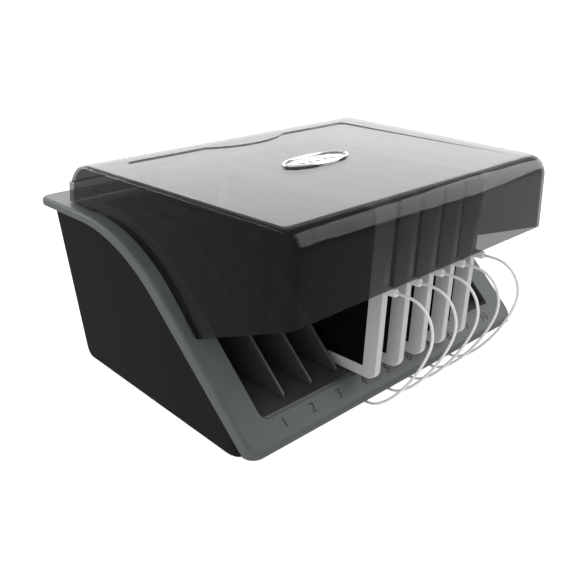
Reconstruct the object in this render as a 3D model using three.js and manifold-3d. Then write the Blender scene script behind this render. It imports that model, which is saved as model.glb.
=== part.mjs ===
// Desktop charging station for ten tablets or phones, with a smoked flip-up lid.
// Millimetres. +X is to the right, +Y is to the back and +Z is up.
// The origin is at the middle of the base, on the surface that it stands on.

import * as THREE from 'three';
import { mergeVertices } from 'three/addons/utils/BufferGeometryUtils.js';
import Module from 'manifold-3d';

const wasm = await Module();
wasm.setup();

// ---------------------------------------------------------------- driving dimensions

const BAY_PITCH = 34; // centre to centre of two bays
const BAYS = 10;
const GAP = 0.3; // between pieces that touch
const PAST = 5; // how far a cutting tool runs past a face

// The frame's side outline: a nose, a slope, a swept arch and a level ledge
const NOSE_Y = -149;
const TAIL_Y = 177;
const NOSE_FOOT_Z = 24.7;
const ARCH_DEGREES = 43; // the arch turns from the slope to the level ledge
const SLOPE = THREE.MathUtils.degToRad(ARCH_DEGREES);
const NUMBERS = { y: -139, z: 40 }; // the numbered line on the slope
const LEDGE_Z = 186;
const ARCH_RADIUS = 180;
const FRAME_SKIN = 3;
const FLANGE = { slope: 13, ledge: 8, wall: 2.5 }; // its depth below the slope and the ledge
const FRAME_HALF = { front: 199.2, rear: 207.4 };
const FRAME_EDGE = { corner: 12, tail: 4, nose: 3, noseDrop: 5 }; // roundings
const MOUTH = { half: 171.7, front: -132.2, rear: 112, corner: 6.5 };

// The tub below the frame. Its rear wall leans in towards a rounded foot.
const TUB = {
  bottom: 2, half: 187, front: -116, rear: 166, wall: 2.5, floor: 3, draft: 0.000365,
  lean: 9.4, foot: 12, corner: 10, top: LEDGE_Z - FRAME_SKIN - GAP,
};
const TUB_NOSE = { y: -95, radius: 66 }; // the large curve from the bottom to the front wall
const FRONT_WALL_TOP = 42;
const FOOT = { radius: 8, spots: [[-150, -78], [150, -78], [-150, 132], [150, 132]] };

// The liner that the devices stand in
const TRAY = { front: 48.5, slope: THREE.MathUtils.degToRad(2), thick: 2.5, tongue: 8 };
const POST = { x: 168, radius: 4.5, ys: [-86, 95] }; // legs that the case screws bite into
const CASE_SCREW = { hole: 2, well: 4.2, wellDepth: 2.1, head: 3.6, headDepth: 1.6, shank: 1.35, length: 15 };
const PILOT = { radius: 1.9, top: 22 }; // the screw's hole in a post

// Dividers
const DIVIDER = {
  thick: 3, toe: -119.4, rear: 108, top: 172, below: 4.2, round: 90, corner: 6, toeRise: 5.5, toeRound: 2.5,
};
const TAB = { length: 20, depth: 6, taper: 1.5, ys: [-78, 58] };

// Lid
const LID = {
  front: -177, rear: 134, top: 227, frontLow: 151.5, heel: -68.5, wall: 2.6,
  half: { front: 174.4, rear: 191 }, frontRound: 20, rearRound: 30, corner: 5,
  draft: 0.00046, seat: 1, below: 60, // below: a level under the whole lid, for cutting
};
const PANEL = { proud: 1.2, front: -148.5, ridge: 207, corner: 12 };
const SCOOP = { half: 55, depth: 16 }; // hollow in the middle of the lid's rear wall
const RECESS = { rear: 90, front: -150, half: 154, depth: 0.7, corner: 8 };
const BUMPER = { rise: 2, inset: 0.2, proud: 0.6, ends: [[-67.5, -53], [88, 106]] };
const BADGE = { x: -8, y: -28, a: 43, b: 17.8, base: 1, ring: 2.2, width: 3 };

// Hinge
const HINGE = {
  y: 143, z: 194.5, x: 95, pin: 2, knuckle: 4.6, half: 10, ear: 3,
  plate: 2.2, toe: 5, heel: 16, head: 3.4, headDepth: 1.2, root: { sink: 0.5, low: 4, high: 6 },
};

// Electronics
const USB = {
  z: 19, width: 13.2, height: 7, depth: 15,
  pocket: [12.6, 5.2], tongue: { width: 10.6, low: 0.4, high: 1.6, setback: 3 }, strip: 5,
};
const BOARD = { half: 161, front: -113, rear: -24, z: 13.5, thick: 1.6, hole: 2 };
const STANDOFF = { radius: 3.5, hole: 1.4, inset: 8, holeFoot: 7 };
const BOARD_SCREW = { head: 3.2, headDepth: 2, shank: 1.05, tip: 8.5 };
const INLET = { x: 120, z: 40, radius: 6, length: 14, flange: 2, flangeDepth: 1.2, bore: 3.2, pin: 1 };
const SWITCH = {
  x: 155, z: 40, width: 15, height: 21, depth: 15, bezel: 1, bezelDepth: 1.8, wall: 1.5, pocket: 9,
  tilt: THREE.MathUtils.degToRad(8),
};
const LEAD = 4.4; // diameter of the inner power lead

// Stored devices and their charging leads
const TABLET = {
  bays: [4, 5, 6, 7, 8], length: 240, height: 169.5, thick: 7.5, corner: 10,
  front: -158.5, offset: -7.6, lean: THREE.MathUtils.degToRad(6),
};
const CORD = 2.7;
const DEVICE_PLUG = { wide: 7.8, thick: 4.8, length: 12, relief: 2, neck: 4.2, tip: 3.1, rise: 4.2 };
const USB_PLUG = {
  wide: 15, thick: 7.4, length: 17.5, relief: 7, neck: 5.2, tip: 3.1,
  shell: { wide: 12, thick: 4.5, reach: 11 }, slot: { wide: 11.4, tall: 2, from: 2 },
};
const SUNK = 0.5; // how far one piece of a plug reaches into the next

// ---------------------------------------------------------------- materials

const plastic = (color, roughness) => new THREE.MeshStandardMaterial({ color, roughness, metalness: 0 });
const metal = (color, roughness) => new THREE.MeshStandardMaterial({ color, roughness, metalness: 1 });

const MATERIALS = {
  black: () => plastic(0x242424, 0.4),
  grey: () => plastic(0x5a5e5f, 0.5),
  tray: () => plastic(0x3c4142, 0.5),
  smoke: () => new THREE.MeshStandardMaterial({
    color: 0x2a2a2a, roughness: 0.08, metalness: 0, transparent: true, opacity: 0.6,
  }),
  rubber: () => plastic(0x101010, 0.9),
  chrome: () => metal(0xd0d0d0, 0.08),
  badge: () => metal(0x9a9a9a, 0.3),
  steel: () => metal(0xb8b8b8, 0.35),
  board: () => plastic(0x1f5a35, 0.6),
  white: () => plastic(0xdcdcdc, 0.4),
  lead: () => plastic(0x151515, 0.6),
  tablet: () => plastic(0xc4c5c6, 0.3),
};

// ---------------------------------------------------------------- shapes

// Turns an outline (y, z), drawn out along its own third axis, to run along X
const ALONG_X = new THREE.Matrix4().makeBasis(
  new THREE.Vector3(0, 1, 0), new THREE.Vector3(0, 0, 1), new THREE.Vector3(1, 0, 0));

function extrude(outline, depth, holes = []) {
  const shape = new THREE.Shape(outline.map(([u, v]) => new THREE.Vector2(u, v)));
  for (const hole of holes) {
    shape.holes.push(new THREE.Path(hole.map(([u, v]) => new THREE.Vector2(u, v))));
  }
  return new THREE.ExtrudeGeometry(shape, { depth, bevelEnabled: false });
}

// A closed geometry as a solid that can be cut and joined
function solid(geometry) {
  const plain = geometry.clone();
  plain.deleteAttribute('normal');
  plain.deleteAttribute('uv');
  const merged = mergeVertices(plain, 1e-4);
  return new wasm.Manifold(new wasm.Mesh({
    numProp: 3,
    vertProperties: Float32Array.from(merged.attributes.position.array),
    triVerts: Uint32Array.from(merged.index.array),
  }));
}

function geometryOf(body) {
  const mesh = body.getMesh();
  const indexed = new THREE.BufferGeometry();
  indexed.setAttribute('position', new THREE.BufferAttribute(Float32Array.from(mesh.vertProperties), 3));
  indexed.setIndex(new THREE.BufferAttribute(Uint32Array.from(mesh.triVerts), 1));
  const faceted = indexed.toNonIndexed();
  faceted.computeVertexNormals();
  return faceted;
}

// An outline, (y, z) or (x, y), drawn out between two places on the X or the Z axis
function prism(axis, outline, from, to, holes) {
  const geometry = extrude(outline, to - from, holes);
  if (axis === 'x') {
    geometry.applyMatrix4(ALONG_X);
    geometry.translate(from, 0, 0);
  } else {
    geometry.translate(0, 0, from);
  }
  return solid(geometry);
}

function box(low, high) {
  const size = high.map((value, i) => value - low[i]);
  const geometry = new THREE.BoxGeometry(...size);
  geometry.translate(...low.map((value, i) => value + size[i] / 2));
  return solid(geometry);
}

// A many-sided cylinder from a point along an axis
function rod(axis, centre, radius, length, sides = 16) {
  const geometry = new THREE.CylinderGeometry(radius, radius, length, sides);
  if (axis === 'x') {
    geometry.rotateZ(-Math.PI / 2);
  }
  if (axis === 'z') {
    geometry.rotateX(Math.PI / 2);
  }
  const middle = [...centre];
  middle['xyz'.indexOf(axis)] += length / 2;
  geometry.translate(...middle);
  return solid(geometry);
}

function arc(cu, cv, radius, fromDegrees, toDegrees, steps) {
  return Array.from({ length: steps + 1 }, (_, i) => {
    const angle = THREE.MathUtils.degToRad(fromDegrees + (toDegrees - fromDegrees) * i / steps);
    return [cu + radius * Math.cos(angle), cv + radius * Math.sin(angle)];
  });
}

function oval(cu, cv, a, b, steps) {
  return Array.from({ length: steps }, (_, i) => {
    const angle = 2 * Math.PI * i / steps;
    return [cu + a * Math.cos(angle), cv + b * Math.sin(angle)];
  });
}

// A plan view, wider at the back than at the front, with rounded corners
function plan(front, rear, halfFront, halfRear, corner, steps = 4) {
  return [
    ...arc(halfFront - corner, front + corner, corner, -90, 0, steps),
    ...arc(halfRear - corner, rear - corner, corner, 0, 90, steps),
    ...arc(-halfRear + corner, rear - corner, corner, 90, 180, steps),
    ...arc(-halfFront + corner, front + corner, corner, 180, 270, steps),
  ];
}

// Moulding draft: widens a body in X as it goes up from a level, or down where the rate is negative
function drafted(body, level, rate) {
  const geometry = geometryOf(body);
  const place = geometry.attributes.position;
  for (let i = 0; i < place.count; i += 1) {
    place.setX(i, place.getX(i) * (1 + rate * (place.getZ(i) - level)));
  }
  return solid(geometry);
}

function join(...bodies) {
  return bodies.flat().reduce((whole, body) => whole.add(body));
}

function cut(body, ...tools) {
  return tools.flat().reduce((rest, tool) => rest.subtract(tool), body);
}

const group = new THREE.Group();

function part(name, material, shape) {
  const geometry = shape instanceof THREE.BufferGeometry ? shape : geometryOf(shape);
  const mesh = new THREE.Mesh(geometry, MATERIALS[material]());
  mesh.name = name;
  group.add(mesh);
  return mesh;
}

// ---------------------------------------------------------------- shared outlines

const WIDE = 260; // wider than anything, for cutting
const bayX = (bay) => BAY_PITCH * (bay - (BAYS + 1) / 2);
const BAY_NUMBERS = Array.from({ length: BAYS }, (_, i) => i + 1);

// The arch of the frame's upper outline, moved inwards by one amount on the slope and another on the ledge
function archOf(inset, ledgeInset) {
  const radius = ARCH_RADIUS - (inset + ledgeInset) / 2;
  const level = LEDGE_Z - ledgeInset;
  const corner = NUMBERS.y + (level - NUMBERS.z + inset / Math.cos(SLOPE)) / Math.tan(SLOPE);
  return { radius, level, corner, y: corner + radius * Math.tan(SLOPE / 2), z: level - radius };
}

// Height of the upper outline at a place, moved inwards
function armHeight(y, inset, ledgeInset = inset) {
  const bend = archOf(inset, ledgeInset);
  if (y >= bend.y) {
    return bend.level;
  }
  if (y > bend.y - bend.radius * Math.sin(SLOPE)) {
    return bend.z + Math.sqrt(bend.radius ** 2 - (y - bend.y) ** 2);
  }
  return bend.level + (y - bend.corner) * Math.tan(SLOPE);
}

// The upper outline between two places, from front to back
function armLine(inset, from, to, steps = 7, ledgeInset = inset) {
  const bend = archOf(inset, ledgeInset);
  return [
    [from, armHeight(from, inset, ledgeInset)],
    ...arc(bend.y, bend.z, bend.radius, 90 + ARCH_DEGREES, 90, steps)
      .filter(([y]) => y > from + 1 && y < to - 1),
    [to, armHeight(to, inset, ledgeInset)],
  ];
}

const trayTop = (y) => TRAY.front - (y - MOUTH.front) * Math.tan(TRAY.slope);

// ---------------------------------------------------------------- casing

// The outer face of the tub's rear wall at a height
const tubRear = (z) => TUB.rear - TUB.lean * (TUB.top - z) / (TUB.top - TUB.bottom - TUB.foot);

// The tub's side outline from its front wall down to the flat of its bottom
function tubNose(inset, steps = 3) {
  const { y, radius } = TUB_NOSE;
  return Array.from({ length: steps + 1 }, (_, i) => {
    const out = (1 - i / steps) * (y - TUB.front - inset);
    return [y - out, TUB.bottom + inset + radius - Math.sqrt(radius ** 2 - out ** 2)];
  });
}

function makeTub() {
  const { bottom, half, front, rear, wall, floor, foot, corner, lean } = TUB;
  const heel = rear - lean - foot;
  const outer = [
    ...tubNose(0),
    ...arc(heel, bottom + foot, foot, -90, 0, 4),
    ...armLine(FRAME_SKIN + GAP, front, rear).reverse(),
  ];
  const inner = [
    ...tubNose(floor),
    ...arc(heel, bottom + foot + floor - wall, foot - wall, -90, 0, 3),
    [rear - wall, WIDE],
    [front + wall, WIDE],
  ];
  const shell = prism('x', outer, -WIDE, WIDE)
    .intersect(prism('z', plan(front, rear, half, half, corner), 0, WIDE));
  const hollow = prism('x', inner, -WIDE, WIDE).intersect(prism(
    'z', plan(front + wall, rear - wall, half - wall, half - wall, corner - wall), 0, WIDE + PAST));
  const tub = cut(drafted(shell, bottom, TUB.draft), drafted(hollow, bottom, TUB.draft));
  const between = POST.x + STANDOFF.inset;
  const lowFront = box(
    [-between, front - PAST, FRONT_WALL_TOP], [between, front + wall + PAST, WIDE]);
  const sockets = BAY_NUMBERS.map((bay) => box(
    [bayX(bay) - USB.width / 2 - GAP, front - PAST, USB.z - USB.height / 2 - GAP],
    [bayX(bay) + USB.width / 2 + GAP, front + wall + PAST, USB.z + USB.height / 2 + GAP]));
  const depth = 4 * PAST; // more than the rear wall's thickness and lean
  const inlet = rod('y', [INLET.x, rear - depth, INLET.z], INLET.radius + GAP, 2 * depth);
  const body = switchBody(GAP);
  const window = box(
    [SWITCH.x - body.half, rear - depth, SWITCH.z - body.rise],
    [SWITCH.x + body.half, rear + depth, SWITCH.z + body.rise]);
  const { hole, well, wellDepth } = CASE_SCREW;
  const screwHoles = postSpots().flatMap(([x, y]) => [
    rod('z', [x, y, 0], hole, bottom + floor + PAST, 10),
    rod('z', [x, y, 0], well, bottom + wellDepth, 12),
  ]);
  const standFoot = bottom + floor / 2;
  const standoffs = boardHoles().map(([x, y]) => rod(
    'z', [x, y, standFoot], STANDOFF.radius, BOARD.z - GAP - standFoot, 10));
  const standoffHoles = boardHoles().map(([x, y]) => rod(
    'z', [x, y, STANDOFF.holeFoot], STANDOFF.hole, BOARD.z, 8));
  return cut(join(cut(tub, lowFront), standoffs), sockets, inlet, window, screwHoles, standoffHoles);
}

function boardHoles() {
  return [-1, 1].map((side) => [side * (BOARD.half - STANDOFF.inset), BOARD.rear - STANDOFF.inset]);
}

function makeFrame() {
  const { front, rear } = FRAME_HALF;
  const { corner, tail, nose, noseDrop } = FRAME_EDGE;
  const noseTop = armHeight(NOSE_Y + nose, 0);
  const footEnd = NOSE_Y + (NOSE_FOOT_Z - armHeight(NOSE_Y, FLANGE.slope)) / Math.tan(SLOPE);
  const outer = [
    [NOSE_Y, NOSE_FOOT_Z],
    ...armLine(FLANGE.slope, footEnd, TAIL_Y, 7, FLANGE.ledge),
    ...arc(TAIL_Y - tail, LEDGE_Z - tail, tail, 0, 90, 3),
    ...armLine(0, NOSE_Y + nose, archOf(0, 0).y).reverse(),
    [NOSE_Y + nose / 3, noseTop - noseDrop / 3],
    [NOSE_Y, noseTop - noseDrop],
  ];
  const inner = [
    [NOSE_Y + FLANGE.wall, 0],
    [TAIL_Y - FLANGE.wall, 0],
    ...armLine(FRAME_SKIN, NOSE_Y + FLANGE.wall, TAIL_Y - FLANGE.wall).reverse(),
  ];
  const shell = prism('x', outer, -WIDE, WIDE)
    .intersect(prism('z', plan(NOSE_Y, TAIL_Y, front, rear, corner), 0, WIDE));
  const hollow = prism('x', inner, -WIDE, WIDE).intersect(prism('z', plan(
    NOSE_Y + FLANGE.wall, TAIL_Y - FLANGE.wall,
    front - FLANGE.wall, rear - FLANGE.wall, corner - FLANGE.wall), 0, WIDE));
  const mouth = prism('z', plan(MOUTH.front, MOUTH.rear, MOUTH.half, MOUTH.half, MOUTH.corner), 0, WIDE);
  return cut(shell, hollow, mouth);
}

// The tray's front tongue fills the mouth, and behind it the tray is wider than the mouth
function makeTray() {
  const { half, front, rear } = MOUTH;
  const wall = TRAY.thick;
  const start = front + GAP;
  const floorOutline = (from, to, lip) => [
    [from, trayTop(from) - wall], [to, trayTop(to) - wall], [to, trayTop(to)], ...lip,
  ];
  const wideFrom = start + TRAY.tongue;
  // The tongue's front is bevelled to carry on the frame's slope
  const crest = start + (trayTop(start) - armHeight(start, 0)) / (Math.tan(SLOPE) + Math.tan(TRAY.slope));
  const bevel = [[crest, trayTop(crest)], [start, armHeight(start, 0)]];
  const inMouth = prism('z', plan(start, rear, half - GAP, half - GAP, MOUTH.corner), 0, WIDE);
  const floor = join(
    prism('x', floorOutline(start, wideFrom + 1, bevel), -half, half).intersect(inMouth),
    prism(
      'x', floorOutline(wideFrom, rear + wall, [[wideFrom, trayTop(wideFrom)]]), -half - wall, half + wall));
  const wallOutline = [
    [wideFrom, trayTop(wideFrom) - wall],
    [rear + wall, trayTop(rear) - wall],
    ...armLine(FRAME_SKIN + GAP, wideFrom, rear + wall).reverse(),
  ];
  const walls = [-1, 1].map((side) => {
    const faces = [side * half, side * (half + wall)].sort((a, b) => a - b);
    return prism('x', wallOutline, ...faces);
  });
  const back = box([-half - wall, rear, trayTop(rear) - wall], [half + wall, rear + wall, TUB.top]);
  const postFoot = TUB.bottom + TUB.floor + GAP;
  const posts = postSpots().map(([x, y]) => rod(
    'z', [x, y, postFoot], POST.radius, trayTop(y) - wall / 2 - postFoot, 12));
  const screwHoles = postSpots().map(([x, y]) => rod('z', [x, y, 0], PILOT.radius, PILOT.top, 8));
  const slots = dividerXs().flatMap((x) => TAB.ys.map((y) => box(
    [x - DIVIDER.thick / 2 - GAP, y - TAB.length / 2 - GAP, TRAY.front - 4 * PAST],
    [x + DIVIDER.thick / 2 + GAP, y + TAB.length / 2 + GAP, TRAY.front + PAST])));
  return cut(join(floor, walls, back, posts), screwHoles, slots);
}

function dividerXs() {
  return BAY_NUMBERS.slice(1).map((bay) => bayX(bay) - BAY_PITCH / 2);
}

// One divider: a thin fin that follows the frame's slope, with two tabs that drop into the tray
function dividerOutline() {
  const { toe, rear, top, below, round, corner, toeRise, toeRound } = DIVIDER;
  const foot = (y) => trayTop(y) + GAP;
  const slopeAt = (z) => NUMBERS.y + (z - NUMBERS.z) / Math.tan(SLOPE) + below / Math.sin(SLOPE);
  const bend = round * Math.tan(SLOPE / 2);
  const toeTop = foot(toe) + toeRise;
  const tabs = TAB.ys.flatMap((y) => [
    [y - TAB.length / 2, foot(y - TAB.length / 2)],
    [y - TAB.length / 2 + TAB.taper, foot(y) - TAB.depth],
    [y + TAB.length / 2 - TAB.taper, foot(y) - TAB.depth],
    [y + TAB.length / 2, foot(y + TAB.length / 2)],
  ]);
  return [
    [toe, foot(toe)],
    ...tabs,
    [rear, foot(rear)],
    ...arc(rear - corner, top - corner, corner, 0, 90, 3),
    ...arc(slopeAt(top) + bend, top - round, round, 90, 90 + ARCH_DEGREES, 4),
    [slopeAt(toeTop), toeTop],
    [toe, toeTop - toeRound],
  ];
}

function makeFeet() {
  FOOT.spots.forEach(([x, y], i) => {
    part(`rubber_foot_${i + 1}`, 'rubber', rod('z', [x, y, 0], FOOT.radius, TUB.bottom - GAP, 16));
  });
}

function postSpots() {
  return POST.ys.flatMap((y) => [-1, 1].map((side) => [side * POST.x, y]));
}

function makeCaseScrews() {
  const { wellDepth, head, headDepth, shank, length } = CASE_SCREW;
  const low = TUB.bottom + wellDepth - GAP - headDepth;
  postSpots().forEach(([x, y], i) => {
    part(`case_screw_${i + 1}`, 'steel', join(
      rod('z', [x, y, low], head, headDepth, 12),
      rod('z', [x, y, low + headDepth / 2], shank, length + headDepth / 2, 8)));
  });
}

// ---------------------------------------------------------------- lid

const lidHalf = (y) => {
  const { front, rear } = LID.half;
  return front + (rear - front) * (y - LID.front) / (LID.rear - LID.front);
};

function lidPlan(out) {
  const { front, rear, half, corner } = LID;
  return plan(front - out, rear + out, half.front + out, half.rear + out, corner + out, 3);
}

const scoopRadius = (SCOOP.half ** 2 + SCOOP.depth ** 2) / (2 * SCOOP.depth);

// The hollow in the rear wall, as a disc that cuts into it
function scoop(out) {
  const radius = scoopRadius + out;
  const centre = LID.rear - SCOOP.depth + scoopRadius;
  return prism('z', oval(0, centre, radius, radius, 72), LID.below, WIDE);
}

function makeLid() {
  const { front, rear, top, frontLow, heel, wall, frontRound, rearRound, seat, below } = LID;
  const outer = [
    [front, frontLow],
    ...armLine(-seat, heel, rear, 6),
    ...arc(rear - rearRound, top - rearRound, rearRound, 0, 90, 6),
    ...arc(front + frontRound, top - frontRound, frontRound, 90, 180, 6),
  ];
  const inner = [
    [front + wall, below],
    [rear - wall, below],
    ...arc(rear - rearRound, top - rearRound, rearRound - wall, 0, 90, 6),
    ...arc(front + frontRound, top - frontRound, frontRound - wall, 90, 180, 6),
  ];
  // The lower edge of the lid's side from its front corner to its heel, which is one straight line
  const frontEdge = (y) => frontLow + (armHeight(heel, -seat) - frontLow) * (y - front) / (heel - front);
  const panel = [
    [PANEL.front, frontEdge(PANEL.front)],
    ...armLine(-seat, heel, rear + PANEL.proud, 6),
    [rear + PANEL.proud, PANEL.ridge],
    ...arc(PANEL.front + PANEL.corner, PANEL.ridge - PANEL.corner, PANEL.corner, 90, 180, 3),
  ];
  const main = prism('x', outer, -WIDE, WIDE).intersect(prism('z', lidPlan(0), 0, WIDE));
  const proud = prism('x', panel, -WIDE, WIDE).intersect(prism('z', lidPlan(PANEL.proud), 0, WIDE));
  const hollow = cut(
    prism('x', inner, -WIDE, WIDE).intersect(prism('z', lidPlan(-wall), 0, WIDE)), scoop(wall));
  const recess = prism('z', recessPlan(), top - RECESS.depth, WIDE);
  const shell = drafted(cut(join(main, proud), scoop(0), hollow, recess), top, -LID.draft);
  const knuckles = [-1, 1].map((side) => knuckle(side * HINGE.x));
  const bores = [-1, 1].map((side) => rod(
    'x', [side * HINGE.x - 4 * PAST, HINGE.y, HINGE.z], HINGE.pin + GAP, 8 * PAST));
  return cut(join(shell, knuckles), bores, bumperNotches());
}

// The shallow panel in the lid's top, whose rear edge runs round the scoop
function recessPlan() {
  const { rear, front, half, corner } = RECESS;
  const sweep = THREE.MathUtils.radToDeg(Math.asin(SCOOP.half / scoopRadius));
  return [
    [half, front],
    ...arc(half - corner, rear - corner, corner, 0, 90, 3),
    ...arc(0, rear - SCOOP.depth + scoopRadius, scoopRadius, -90 + sweep, -90 - sweep, 10),
    ...arc(-half + corner, rear - corner, corner, 90, 180, 3),
    [-half, front],
  ];
}

function knuckle(x) {
  const { y, z, half, root } = HINGE;
  const outline = [
    [LID.rear - root.sink, z - root.low],
    ...arc(y, z, HINGE.knuckle, -60, 110, 6),
    [LID.rear - root.sink, z + root.high],
  ];
  return prism('x', outline, x - half + GAP, x + half - GAP);
}

// Strips along the lower edge of the lid's side walls, between two insets of the frame's outline
function edgeStrips(low, high, gap, inside, outside) {
  return BUMPER.ends.flatMap(([from, to]) => [-1, 1].map((side) => {
    const outline = [
      ...armLine(low, from - gap, to + gap, 3),
      ...armLine(high, from - gap, to + gap, 3).reverse(),
    ];
    const face = lidHalf((from + to) / 2) * (1 + LID.draft * (LID.top - armHeight(from, 0)));
    const faces = [side * (face - inside), side * (face + outside)];
    return prism('x', outline, ...faces.sort((a, b) => a - b));
  }));
}

// The bumpers fill notches that are open below
function makeBumpers() {
  const { wall, seat } = LID;
  return edgeStrips(GAP - seat, -seat - BUMPER.rise, 0, wall - BUMPER.inset, BUMPER.proud);
}

function bumperNotches() {
  const { wall, seat } = LID;
  return edgeStrips(seat, -seat - BUMPER.rise - GAP, GAP, wall + PAST, PAST);
}

function makeBadge() {
  const { x, y, a, b, base, ring, width } = BADGE;
  const seat = LID.top - RECESS.depth + GAP;
  part('badge_plate', 'badge', prism(
    'z', oval(x, y, a - width - GAP, b - width - GAP, 36), seat, seat + base));
  part('badge_ring', 'chrome', prism(
    'z', oval(x, y, a, b, 36), seat, seat + ring, [oval(x, y, a - width, b - width, 36)]));
}

function makeHinges() {
  const { y, z, x, pin, half, ear, plate, toe, heel, knuckle: round, head, headDepth } = HINGE;
  const foot = LEDGE_Z + GAP;
  for (const [name, side] of [['left', -1], ['right', 1]]) {
    const centre = side * x;
    const reach = half + ear;
    const base = box([centre - reach, y - toe, foot], [centre + reach, y + heel, foot + plate]);
    const earOutline = [
      [y - toe, foot], [y + heel, foot], [y + toe * 2, foot + ear], ...arc(y, z, round, 20, 200, 6),
    ];
    const ears = [-1, 1].map((end) => {
      const faces = [centre + end * half, centre + end * reach].sort((p, q) => p - q);
      return prism('x', earOutline, ...faces);
    });
    const bore = rod('x', [centre - 4 * PAST, y, z], pin + GAP, 8 * PAST);
    part(`hinge_bracket_${name}`, 'black', cut(join(base, ears), bore));
    const length = 2 * reach + headDepth;
    const headFrom = centre + side * (reach + GAP) - (side < 0 ? headDepth : 0);
    part(`hinge_pin_${name}`, 'steel', join(
      rod('x', [centre - length / 2, y, z], pin, length, 12),
      rod('x', [headFrom, y, z], head, headDepth, 12)));
  }
}

// ---------------------------------------------------------------- electronics

function makeBoard() {
  const { half, front, rear, z, thick, hole } = BOARD;
  const top = z + thick;
  const sunk = 0.1; // a component's foot reaches into the board, so that they make one body
  const plate = cut(
    box([-half, front, z], [half, rear, top]),
    boardHoles().map(([x, y]) => rod('z', [x, y, z - PAST], hole, 2 * PAST, 10)));
  const coils = [-120, -60, 0, 60, 120].map((x) => box([x - 9, -88, top - sunk], [x + 9, -70, top + 9]));
  const capacitors = [-135, -100, 40, 80, 100].map((x) => rod('z', [x, -52, top - sunk], 5, 13, 10));
  const sink = { half: 14, front: -48, rear: -32, base: 3, top: 14, fin: 3.5, step: 8 };
  const sinkBase = box([-sink.half, sink.front, top - sunk], [sink.half, sink.rear, top + sink.base]);
  const fins = [0, 1, 2, 3].map((i) => box(
    [-sink.half + i * sink.step, sink.front, top + sink.base - 1],
    [-sink.half + i * sink.step + sink.fin, sink.rear, top + sink.top]));
  return join(plate, coils, capacitors, sinkBase, fins);
}

function makeBoardScrews() {
  const { head, headDepth, shank, tip } = BOARD_SCREW;
  const seat = BOARD.z + BOARD.thick + GAP;
  boardHoles().forEach(([x, y], i) => {
    part(`board_screw_${i + 1}`, 'steel', join(
      rod('z', [x, y, seat], head, headDepth, 10),
      rod('z', [x, y, tip], shank, seat + headDepth / 2 - tip, 8)));
  });
}

// Five sockets in one ganged block, each with its contact tongue
function makeUsbBank(bays) {
  const { z, width, height, depth, pocket, tongue, strip } = USB;
  const face = TUB.front;
  const cans = bays.map((bay) => {
    const x = bayX(bay);
    const [wide, tall] = pocket;
    const can = box([x - width / 2, face, z - height / 2], [x + width / 2, face + depth, z + height / 2]);
    const mouth = box(
      [x - wide / 2, face - PAST, z - tall / 2], [x + wide / 2, face + depth - 2, z + tall / 2]);
    const contact = box(
      [x - tongue.width / 2, face + tongue.setback, z + tongue.low],
      [x + tongue.width / 2, face + depth - 1, z + tongue.high]);
    return join(cut(can, mouth), contact);
  });
  const back = box(
    [bayX(bays[0]), face + depth - 3, z - height / 2],
    [bayX(bays[bays.length - 1]), face + depth - 3 + strip, z + height / 2 - 1]);
  return join(back, cans);
}

// The inlet's outer face, with its flange flat against the rear wall
const inletFace = tubRear(INLET.z + INLET.radius + INLET.flange) + GAP + INLET.flangeDepth;

function makeInlet() {
  const { x, z, radius, length, flange, flangeDepth, bore, pin } = INLET;
  const end = inletFace - length;
  const barrel = rod('y', [x, end, z], radius, length, 20);
  const rim = rod('y', [x, inletFace - flangeDepth, z], radius + flange, flangeDepth, 20);
  const socket = rod('y', [x, end + bore, z], bore, length, 14);
  const contact = rod('y', [x, end + bore / 2, z], pin, length - bore, 8);
  return join(cut(join(barrel, rim), socket), contact);
}

// The lead inside the tub, from the inlet down to the back edge of the board
function makeLead() {
  const { x, z, length } = INLET;
  const start = inletFace - length - GAP;
  const route = [
    [x, start, z],
    [x, start - 8, z],
    [x, 118, 24],
    [x, 90, 12],
    [x - 10, 20, 10],
    [x - 14, BOARD.rear + 8, BOARD.z],
    [x - 14, BOARD.rear + 2 * GAP, BOARD.z + 1],
  ];
  return tube(route.map((place) => new THREE.Vector3(...place)), LEAD, 24);
}

// Half the size of the switch's body, which passes through the rear wall
function switchBody(gap) {
  const { width, height, bezel } = SWITCH;
  return { half: width / 2 - bezel + gap, rise: height / 2 - bezel + gap };
}

// The switch's face, which the rocker pivots on, with the bezel flat against the rear wall
const bezelSink = 0.5; // the bezel overlaps the body behind the face
const switchFace = tubRear(SWITCH.z + SWITCH.height / 2 + SWITCH.bezel) + GAP + bezelSink;

function makeSwitchHousing() {
  const { x, z, width, height, depth, bezel, bezelDepth, wall, pocket } = SWITCH;
  const { half, rise } = switchBody(0);
  const body = box([x - half, switchFace - depth, z - rise], [x + half, switchFace, z + rise]);
  const rim = box(
    [x - width / 2 - bezel, switchFace - bezelSink, z - height / 2 - bezel],
    [x + width / 2 + bezel, switchFace + bezelDepth, z + height / 2 + bezel]);
  const inner = [width / 2 - wall, height / 2 - wall];
  const well = box(
    [x - inner[0], switchFace - pocket, z - inner[1]],
    [x + inner[0], switchFace + PAST, z + inner[1]]);
  return cut(join(body, rim), well);
}

function makeRocker() {
  const { x, z, width, height, wall, tilt } = SWITCH;
  const reach = height / 2 - wall - 1.1;
  const across = width - 2 * (wall + 0.4);
  const outline = [
    [-4, -3], [-2, -reach + 1], [2.4, -reach], [4.6, -reach + 0.4], [2.9, 0], [4.6, reach - 0.4],
    [2.4, reach], [-2, reach - 1], [-4, 3],
  ];
  const geometry = extrude(outline, across).applyMatrix4(ALONG_X);
  geometry.translate(-across / 2, 0, 0);
  geometry.rotateX(tilt);
  geometry.translate(x, switchFace, z);
  return geometry;
}

// ---------------------------------------------------------------- devices and leads

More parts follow.
